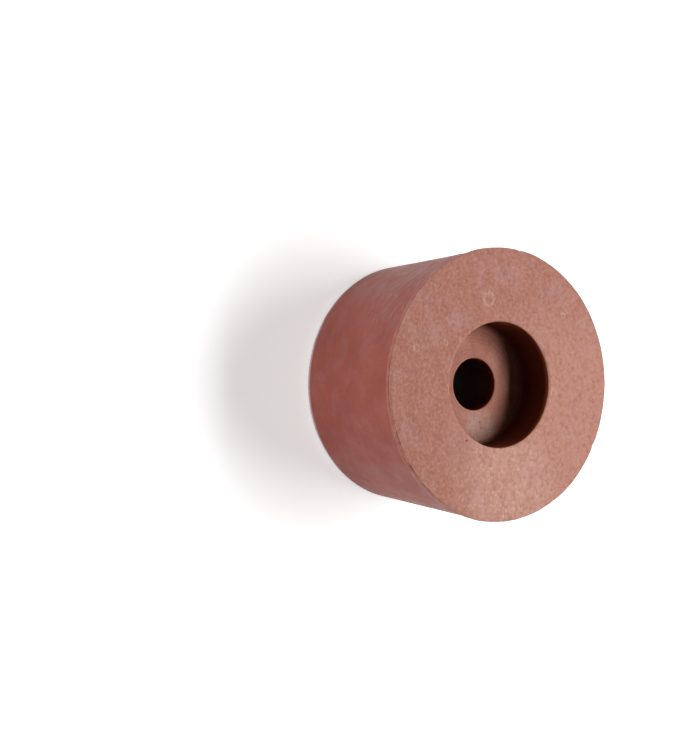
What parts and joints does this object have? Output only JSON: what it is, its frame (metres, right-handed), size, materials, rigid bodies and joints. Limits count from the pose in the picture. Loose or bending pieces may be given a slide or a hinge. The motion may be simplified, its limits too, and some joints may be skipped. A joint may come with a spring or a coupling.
{
  "type": "rubber stopper",
  "caption": "Conical red rubber stopper with a wide recess in its big end and a narrower hole on from the recess floor to the small end.",
  "frame": {"origin": "centre of the small end's face, on which the stopper stands", "axes": "+Z along the stopper's axis, from the small end up to the big end; X and Y lie in the small end's face and are alike"},
  "size_m": [0.05, 0.05, 0.03],
  "materials": {
    "red_rubber": "matte, dusty brown-red moulded rubber"
  },
  "bodies": {
    "root": {"stopper": "red_rubber"}
  },
  "joints": []
}
